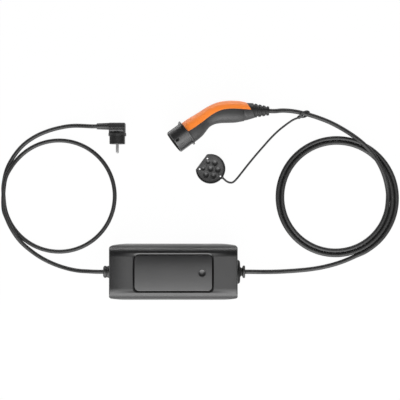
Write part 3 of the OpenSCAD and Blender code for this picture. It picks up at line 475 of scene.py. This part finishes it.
def cableRoute(cable):
    x, y = cable["coilCentre"]
    coil = []
    for a in range(cable["coilFrom"], cable["coilTo"] + 1, cable["coilStep"]):
        r = cable["coilRadius"] - cable["coilPitch"] * a / 360
        coil.append((x + r * cos(radians(a)), y + r * sin(radians(a)), cable["coilLevel"]))
    return cable["fromBox"] + coil + cable["toGrip"]


def makeCord(name, route, cord):
    path = smoothed([Vector(p) * mm for p in route], cord["perGap"])
    for point in path:
        point.z = max(point.z, cord["diameter"] * mm / 2)  # lies on the floor, never in it
    tube = sweptTube(name, path, cord["diameter"] * mm / 2, cord["sides"])
    tube.data.materials.append(materials["jacket"])
    print(name, "is", round(pathLength(path), 3), "m long")
    return tube, path


leadTube, leadPath = makeCord("mainsLead", leadRoute(mainsLead), mainsLead)
cableTube, cablePath = makeCord("chargeCable", cableRoute(chargeCable), chargeCable)
tetherTube, tetherPath = makeCord("capTether", capTether["route"], capTether)
settle(leadTube, "charger", "jacket", "supply_cord")
settle(cableTube, "charger", "jacket", "cable_box_end", "cable_coil", "cable_grip_end")
settle(tetherTube, "charger", "jacket", "cap_tether")


# Loop of the tether: an eye that passes over the cable at one side and under it at the other
tetherLoop = {
    "middle": (273.8, 328.3, 8.2),
    "slant": 24,
    "halfLong": 10.2,
    "halfWide": 4.7,
    "climb": 6.8,
    "highAt": 0.7,  # half turns round the eye
    "diameter": 4.2,
    "sides": 14,
    "steps": 48,
    "knot": {"diameter": 7.4, "from": (260.0, 321.0, 6.8), "to": (269.0, 326.0, 10.4), "steps": 6},
    "edge": {"width": 0.5, "segments": 3, "angle": 40, "harden": False},
}


def makeLoop(loop):
    turn = radians(loop["slant"])
    along, across = Vector((cos(turn), sin(turn), 0)), Vector((-sin(turn), cos(turn), 0))
    path = []
    for i in range(loop["steps"] + 1):
        t = pi - 2 * pi * i / loop["steps"]
        lift = Vector((0, 0, loop["climb"] * cos(t - loop["highAt"] * pi)))
        spot = (Vector(loop["middle"]) + loop["halfLong"] * cos(t) * along
                + loop["halfWide"] * sin(t) * across + lift)
        spot.z = max(spot.z, loop["diameter"] / 2)
        path.append(spot * mm)
    strand = sweptTube("tetherLoop", path, loop["diameter"] / 2 * mm, loop["sides"])
    knot = loop["knot"]
    start, end = Vector(knot["from"]) * mm, Vector(knot["to"]) * mm
    knotPath = [start.lerp(end, i / knot["steps"]) for i in range(knot["steps"] + 1)]
    bulge = sweptTube("tetherKnot", knotPath, knot["diameter"] / 2 * mm, loop["sides"])
    bm = bmesh.new()
    bm.from_mesh(strand.data)
    bm.from_mesh(bulge.data)
    bm.to_mesh(strand.data)
    bm.free()
    bpy.data.objects.remove(bulge)
    strand.data.set_sharp_from_angle(angle=radians(loop["edge"]["angle"]))
    softEdges(strand, loop["edge"])
    strand.data.materials.append(materials["rubber"])
    return strand


loopPiece = makeLoop(tetherLoop)
settle(loopPiece, "charger", "rubber", "tether_ring")
print("tether loop made")


# CAD nodes: a copy with joined corners, softened edges and its finish, in millimetres and degrees
mending = {"join": 0.01, "flat": 0.2, "sharp": 32, "segments": 2}
dress = {
    "box_base": {"slot": "shell", "edge": 0.5},
    "box_cover": {"slot": "shell", "edge": 0.4, "level": {
        "drop": 4, "facing": 0.87, "slack": 1e-5, "tilt": 0.02, "ends": 85,
        "from": 91.2, "lean": 0.00457, "shoulder": 31.8, "bend": 24.5, "runIn": 9,
        "rows": (31.8, 33.8, 35.8, 37.8, 39.8, 41.8),
    }},
    "face_panel": {"slot": "panel", "edge": 0.4, "rim": {
        "width": 1.5, "segments": 5, "drop": 4.5, "outer": 0.9,
    }},
    "mode_button": {"slot": "panel", "edge": 0.3, "body": "button"},
    "inlet_gland": {"slot": "rubber", "edge": 0.4},
    # painted shade: the collar takes the darker collar finish
    "outlet_collar": {"slot": "plug_plastic", "finish": "collar", "edge": 0.4},
    "outlet_bush": {"slot": "rubber", "edge": 0.3},
    "plug_sleeve": {"slot": "rubber", "edge": 0.4},
    "plug_body": {"slot": "rubber", "edge": 0.6},
    "plug_insert": {"slot": "plug_plastic", "edge": 0.4},
    "plug_pins": {"slot": "pin", "edge": 0.2},
    "earth_clips": {"slot": "pin", "edge": 0.1},
    "grip_cover": {"slot": "orange", "edge": 0.4},
    "grip_lower": {"slot": "shell", "finish": "gripShell", "edge": 0.4},
    "mating_barrel": {"slot": "barrel", "edge": 0.4, "bore": {
        "at": (-0.7, 270, 33.73), "heading": 36.4, "tilt": 4.77, "lock": (6.6, -4.4), "lockReach": 6,
        "inward": 0.3, "round": 26.9, "outward": 0.98,
    }},
    "contact_carrier": {"slot": "plug_plastic", "edge": 0.3},
    "power_contacts": {"slot": "contact", "edge": 0.1},
    "pilot_contacts": {"slot": "contact", "edge": 0.1},
    "grip_boot": {"slot": "rubber", "finish": "bootRubber", "edge": 0.4},
    "dust_cap": {"slot": "rubber", "finish": "capRubber", "edge": 0.4, "bowls": {
        "at": (76.7, 213.8), "turn": 143.6, "floor": 10.6, "lowest": 5.1, "depth": 0.45,
        "margin": 0.1, "skin": 0.02,
        "places": {6.2: [(0, 0), (0, 15.5), (0, -15.5), (-13.42, 7.75), (-13.42, -7.75)],
                   4.3: [(12.6, 8.5), (12.6, -8.5)]},
    }},
}


def openBowls(bm, bowls):
    # the bowls of the cap flatten out towards their rims
    turn = radians(bowls["turn"])
    for radius, places in bowls["places"].items():
        for x, y in places:
            middle = Vector((bowls["at"][0] + x * cos(turn) - y * sin(turn),
                             bowls["at"][1] + x * sin(turn) + y * cos(turn), 0)) * mm
            for vert in bm.verts:
                out = (vert.co.xy - middle.xy).length / mm
                inBowl = bowls["lowest"] < vert.co.z / mm < bowls["floor"] - bowls["skin"]
                if inBowl and out < radius + bowls["margin"]:
                    share = min(out / radius, 1)
                    sunk = bowls["depth"] * radius * (1 - share * share)
                    vert.co.z = (bowls["floor"] - sunk) * mm


def boreAxis(bore):
    heading, tilt = radians(bore["heading"]), radians(bore["tilt"])
    return Vector((cos(heading) * cos(tilt), sin(heading) * cos(tilt), -sin(tilt)))


def paintBoreShade(piece, bore):
    # painted shade: the inside of the barrel and the walls of its lock hole get the darker finish of the
    # carrier, so that they look shaded
    heading = radians(bore["heading"])
    axis, side = boreAxis(bore), Vector((-sin(heading), cos(heading), 0))
    mesh = piece.data
    mesh.materials.append(materials["plug_plastic"])
    for face in mesh.polygons:
        spot = face.center - Vector(bore["at"]) * mm
        along = spot.dot(axis)
        facing = face.normal.dot((spot - along * axis).normalized())
        fromLock = hypot(along / mm - bore["lock"][0], spot.dot(side) / mm - bore["lock"][1])
        inHole = fromLock < bore["lockReach"] and abs(facing) < bore["inward"] and spot.z > 0
        face.material_index = 1 if facing < -bore["inward"] or inHole else 0


def roundNormals(piece, bore):
    # the barrel's round outside is shaded as a true cylinder, whatever its triangles are
    axis = boreAxis(bore)
    mesh = plainMesh(piece)
    normals = [corner.vector.copy() for corner in mesh.corner_normals]

    def radial(spot):
        spot = spot - Vector(bore["at"]) * mm
        return spot - spot.dot(axis) * axis

    for face in mesh.polygons:
        out = radial(face.center)
        if out.length > bore["round"] * mm and face.normal.dot(out.normalized()) > bore["outward"]:
            for corner in face.loop_indices:
                vert = mesh.vertices[mesh.loops[corner].vertex_index]
                normals[corner] = radial(vert.co).normalized()
    mesh.normals_split_custom_set(normals)


def isTop(normal, centre, top, level):
    # faces of the upper side that look up or outwards, not into the groove
    high = centre.z > top - level["drop"] * mm
    return high and normal.z > level["facing"] and normal.y * centre.y > -level["slack"]


def cutEnds(bm, level):
    # rows of corners on the falling ends, which carry the shading of the shoulders out to the edge
    top = max(vert.co.z for vert in bm.verts)

    def isEnd(face):
        centre = face.calc_center_median()
        far = abs(centre.x) > level["ends"] * mm
        return far and abs(face.normal.y) < level["tilt"] and isTop(face.normal, centre, top, level)

    for row in level["rows"]:
        for y in (-row, row):
            bm.normal_update()
            ends = [face for face in bm.faces if isEnd(face)]
            parts = [part for face in ends for part in (face, *face.edges, *face.verts)]
            once = list(dict.fromkeys(parts))  # in the same order at each run
            bmesh.ops.bisect_plane(bm, geom=once, plane_co=(0, y * mm, 0), plane_no=(0, 1, 0))


def levelTop(piece, level):
    # the broad top is shaded as one surface that bends down along the box and runs into the shoulders
    mesh = plainMesh(piece)
    normals = [corner.vector.copy() for corner in mesh.corner_normals]
    top = max(vert.co.z for vert in mesh.vertices)
    for face in mesh.polygons:
        sideShoulder = abs(face.normal.y) > level["tilt"] and abs(face.center.x) < level["ends"] * mm
        if sideShoulder or not isTop(face.normal, face.center, top, level):
            continue
        for corner in face.loop_indices:
            spot = mesh.vertices[mesh.loops[corner].vertex_index].co / mm
            lean = level["lean"] * max(abs(spot.x) - level["from"], 0)
            bend = 0
            if abs(spot.x) > level["from"] - level["runIn"]:
                bend = max(abs(spot.y) - level["shoulder"], 0) / level["bend"]
            normals[corner] = Vector((lean if spot.x > 0 else -lean, bend if spot.y > 0 else -bend,
                                      (1 - bend * bend) ** 0.5)).normalized()
    mesh.normals_split_custom_set(normals)


def roundRim(name, mesh, bevel, look):
    # the outer rim of the top face is rounder than the other edges
    rim = look["rim"]
    weights = mesh.attributes.new("bevel_weight_edge", "FLOAT", "EDGE")
    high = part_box(name)[1]
    for edge in mesh.edges:
        if not edge.use_edge_sharp:
            continue
        ends = [mesh.vertices[v].co for v in edge.vertices]
        top = all(end.z > high.z - rim["drop"] * mm for end in ends)
        outer = any(abs(end.x) > rim["outer"] * high.x or abs(end.y) > rim["outer"] * high.y
                    for end in ends)
        weights.data[edge.index].value = 1.0 if top and outer else look["edge"] / rim["width"]
    bevel.width = rim["width"] * mm
    bevel.segments = rim["segments"]
    bevel.limit_method = "WEIGHT"


def dressNode(name, look):
    mesh = nodes[name].data.copy()
    mesh.name = name + "Dressed"
    bm = bmesh.new()
    bm.from_mesh(mesh)
    bmesh.ops.remove_doubles(bm, verts=bm.verts, dist=mending["join"] * mm)
    bmesh.ops.dissolve_limit(
        bm, angle_limit=radians(mending["flat"]), verts=bm.verts, edges=bm.edges)
    if "bowls" in look:
        openBowls(bm, look["bowls"])
    if "level" in look:
        cutEnds(bm, look["level"])
    for face in bm.faces:
        face.smooth = True
    bm.to_mesh(mesh)
    bm.free()
    mesh.set_sharp_from_angle(angle=radians(mending["sharp"]))
    mesh.materials.clear()
    mesh.materials.append(materials[look.get("finish", look["slot"])])
    piece = addObject(name + "Dressed", mesh)
    if "bore" in look:
        paintBoreShade(piece, look["bore"])
    bevel = softEdges(piece, {"width": look["edge"], "segments": mending["segments"],
                              "angle": mending["sharp"], "harden": True})
    if "rim" in look:
        roundRim(name, mesh, bevel, look)
    if "level" in look:
        levelTop(piece, look["level"])
    if "bore" in look:
        roundNormals(piece, look["bore"])
    settle(piece, look.get("body", "charger"), look["slot"], name)
    return piece


dressed = {name: dressNode(name, look) for name, look in dress.items()}
for sub in frame["record"]["subparts"]:
    if sub["node"] not in dress:
        nodes[sub["node"]].data.materials.clear()
        nodes[sub["node"]].data.materials.append(materials[sub["material_slot"]])
print("CAD nodes dressed:", len(dressed))


# Screws of the cover, driven from below: Geometry Nodes set one recessed screw on each corner
coverScrews = {
    "sizes": {
        "Head Radius": 3.0,
        "Head Height": 2.4,
        "Recess Radius": 1.9,
        "Recess Depth": 1.5,
        "Shank Radius": 1.5,
    },
    "sides": {"head": 32, "recess": 6, "shank": 20},
    "edge": {"width": 0.2, "segments": 2, "angle": 40, "harden": True},
}


def screwTree(screws):
    tree = bpy.data.node_groups.new("recessedScrews", "GeometryNodeTree")
    tree.interface.new_socket("Corners", in_out="INPUT", socket_type="NodeSocketGeometry")
    for label in (*screws["sizes"], "Length"):
        tree.interface.new_socket(label, in_out="INPUT", socket_type="NodeSocketFloat")
    tree.interface.new_socket("Finish", in_out="INPUT", socket_type="NodeSocketMaterial")
    tree.interface.new_socket("Screws", in_out="OUTPUT", socket_type="NodeSocketGeometry")
    start, end = tree.nodes.new("NodeGroupInput"), tree.nodes.new("NodeGroupOutput")

    def worked(operation, first, second):
        made = addNode(tree, "ShaderNodeMath", {"operation": operation})
        for socket, value in zip(made.inputs, (first, second)):
            if isinstance(value, (int, float)):
                socket.default_value = value
            else:
                tree.links.new(value, socket)
        return made.outputs["Value"]

    def rod(sides, radius, depth):
        made = addNode(tree, "GeometryNodeMeshCylinder", Vertices=sides)
        join(tree, (radius, made.inputs["Radius"]), (depth, made.inputs["Depth"]))
        return made.outputs["Mesh"]

    def raised(mesh, height):
        place = addNode(tree, "ShaderNodeCombineXYZ")
        moved = addNode(tree, "GeometryNodeTransform")
        join(
            tree,
            (height, place.inputs["Z"]),
            (mesh, moved.inputs["Geometry"]),
            (place.outputs["Vector"], moved.inputs["Translation"]),
        )
        return moved.outputs["Geometry"]

    def half(value):
        return worked("MULTIPLY", value, 0.5)

    given, sides = start.outputs, screws["sides"]
    headHeight = given["Head Height"]
    head = raised(rod(sides["head"], given["Head Radius"], headHeight), half(headHeight))
    # the recess reaches as far out of the head as into it
    recess = rod(sides["recess"], given["Recess Radius"], worked("MULTIPLY", given["Recess Depth"], 2.0))
    shankLength = worked("SUBTRACT", given["Length"], headHeight)
    shank = raised(rod(sides["shank"], given["Shank Radius"], shankLength),
                   worked("ADD", headHeight, half(shankLength)))
    cut = addNode(tree, "GeometryNodeMeshBoolean", {"operation": "DIFFERENCE"})
    whole = addNode(tree, "GeometryNodeJoinGeometry")
    onCorners = addNode(tree, "GeometryNodeInstanceOnPoints")
    real = addNode(tree, "GeometryNodeRealizeInstances")
    finish = addNode(tree, "GeometryNodeSetMaterial")
    join(
        tree,
        (head, cut.inputs["Mesh 1"]),
        (recess, cut.inputs["Mesh 2"]),
        (shank, whole.inputs["Geometry"]),
        (cut.outputs["Mesh"], whole.inputs["Geometry"]),
        (given["Corners"], onCorners.inputs["Points"]),
        (whole.outputs["Geometry"], onCorners.inputs["Instance"]),
        (onCorners.outputs["Instances"], real.inputs["Geometry"]),
        (real.outputs["Geometry"], finish.inputs["Geometry"]),
        (given["Finish"], finish.inputs["Material"]),
        (finish.outputs["Geometry"], end.inputs["Screws"]),
    )
    return tree


def makeScrews(screws):
    low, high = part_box("cover_screws")
    inset = screws["sizes"]["Head Radius"] * mm
    mesh = bpy.data.meshes.new("coverScrews")
    mesh.from_pydata([(x, y, low.z) for x in (low.x + inset, high.x - inset)
                      for y in (low.y + inset, high.y - inset)], [], [])
    piece = addObject("coverScrews", mesh)
    tree = screwTree(screws)
    setter = piece.modifiers.new("recessedScrews", "NODES")
    setter.node_group = tree
    values = {label: value * mm for label, value in screws["sizes"].items()}
    values["Length"] = high.z - low.z
    values["Finish"] = materials["screw"]
    for item in tree.interface.items_tree:
        if item.in_out == "INPUT" and item.name in values:
            setter[item.identifier] = values[item.name]
    plainMesh(piece)
    softEdges(piece, screws["edge"])
    return piece


screwPiece = makeScrews(coverScrews)
settle(screwPiece, "charger", "screw", "cover_screws")
print("cover screws set:", len(screwPiece.data.polygons), "faces")


# The three cords, and the loop on the tether's end, are made above
print("cords made")


# Floor and light
studio = {
    "floorSize": 12,
    "floorDrop": 0.0002,
    "wall": {"radius": 5.9, "height": 1.7, "sides": 72},
    "floorWhite": 0.95,
    "floorGlow": 0.975,
    "sky": 0.05,
    # long soft lamps on an arc over the object, in degrees:
    # how far from straight above, towards -Y, and how many they span
    "arc": {"middle": (0.05, 0.1, 0.0), "radius": 2.3, "length": 3.6, "wattsPerArea": 4},
    "lamps": {
        "topSoft": {"off": 8, "span": 26, "level": 1.45, "length": 2.2, "shift": 0.33},
        "midSouth": {"off": 32, "span": 22, "level": 2.6, "length": 3.2, "shift": 0.3},
        "keySouth": {"off": 56, "span": 26, "level": 3.6},
        "lowSouth": {"off": 78, "span": 18, "level": 2.9},
        "northStrip": {"off": -85, "span": 10, "level": 4.5},
        "fillTop": {"off": -10, "span": 60, "level": 0.4, "matteOnly": True},
    },
}


def paleFinish(s):
    # white that the eye and its reflections see almost without shade
    material = bpy.data.materials.new("paleFloorFinish")
    material.use_nodes = True
    tree = material.node_tree
    tree.nodes.clear()
    out = addNode(tree, "ShaderNodeOutputMaterial")
    matte = addNode(tree, "ShaderNodeBsdfDiffuse")
    matte.inputs["Color"].default_value = (s["floorWhite"],) * 3 + (1,)
    glow = addNode(tree, "ShaderNodeEmission", Strength=1)
    rays = addNode(tree, "ShaderNodeLightPath")
    seen = addNode(tree, "ShaderNodeMath", {"operation": "MAXIMUM"})
    seenToo = addNode(tree, "ShaderNodeMath", {"operation": "MAXIMUM"})
    share = addNode(tree, "ShaderNodeMath", {"operation": "MULTIPLY"})
    share.inputs[1].default_value = s["floorGlow"]
    mix = addNode(tree, "ShaderNodeMixShader")
    join(
        tree,
        (rays.outputs["Is Camera Ray"], seen.inputs[0]),
        (rays.outputs["Is Glossy Ray"], seen.inputs[1]),
        (seen.outputs[0], seenToo.inputs[0]),
        (rays.outputs["Is Transmission Ray"], seenToo.inputs[1]),
        (seenToo.outputs[0], share.inputs[0]),
        (share.outputs[0], mix.inputs["Fac"]),
        (matte.outputs["BSDF"], mix.inputs[1]),
        (glow.outputs["Emission"], mix.inputs[2]),
        (mix.outputs["Shader"], out.inputs["Surface"]),
    )
    return material


def makeFloor(s, material):
    half = s["floorSize"] / 2
    corners = [(-half, -half, 0), (half, -half, 0), (half, half, 0), (-half, half, 0)]
    mesh = bpy.data.meshes.new("paleFloor")
    mesh.from_pydata(corners, [], [(0, 1, 2, 3)])
    mesh.materials.append(material)
    floor = addObject("paleFloor", mesh)
    floor.location.z = -s["floorDrop"]


def makeWall(wall, material):
    radius, sides = wall["radius"], wall["sides"]
    turns = [2 * pi * i / sides for i in range(sides)]
    ring = [(radius * cos(t), radius * sin(t), z) for z in (0, wall["height"]) for t in turns]
    faces = [(i, i + sides, (i + 1) % sides + sides, (i + 1) % sides) for i in range(sides)]
    mesh = bpy.data.meshes.new("paleWall")
    mesh.from_pydata(ring, [], faces)
    mesh.materials.append(material)
    backdrop = addObject("paleWall", mesh)


def makeLamp(name, lamp, arc):
    data = bpy.data.lights.new(name, "AREA")
    data.shape = "RECTANGLE"
    data.size = lamp.get("length", arc["length"])
    data.size_y = 2 * arc["radius"] * tan(radians(lamp["span"] / 2))
    data.energy = arc["wattsPerArea"] * data.size * data.size_y * lamp["level"]
    light = bpy.data.objects.new(name, data)
    turn = radians(lamp["off"])
    light.location = Vector(arc["middle"]) + arc["radius"] * Vector((0, -sin(turn), cos(turn)))
    light.location.x += lamp.get("shift", 0)
    light.rotation_euler = (turn, 0, 0)
    light.visible_camera = False
    light.visible_glossy = not lamp.get("matteOnly", False)
    bpy.context.collection.objects.link(light)


def makeSky(strength):
    world = bpy.data.worlds.new("paleRoom")
    bpy.context.scene.world = world
    world.use_nodes = True
    sky = world.node_tree.nodes["Background"]
    sky.inputs["Color"].default_value = (1, 1, 1, 1)
    sky.inputs["Strength"].default_value = strength


def makeStage(s):
    material = paleFinish(s)
    makeFloor(s, material)
    makeWall(s["wall"], material)
    for name, lamp in s["lamps"].items():
        makeLamp(name, lamp, s["arc"])
    makeSky(s["sky"])


makeStage(studio)
bpy.context.scene.view_settings.view_transform = "Standard"
print("stage lit")
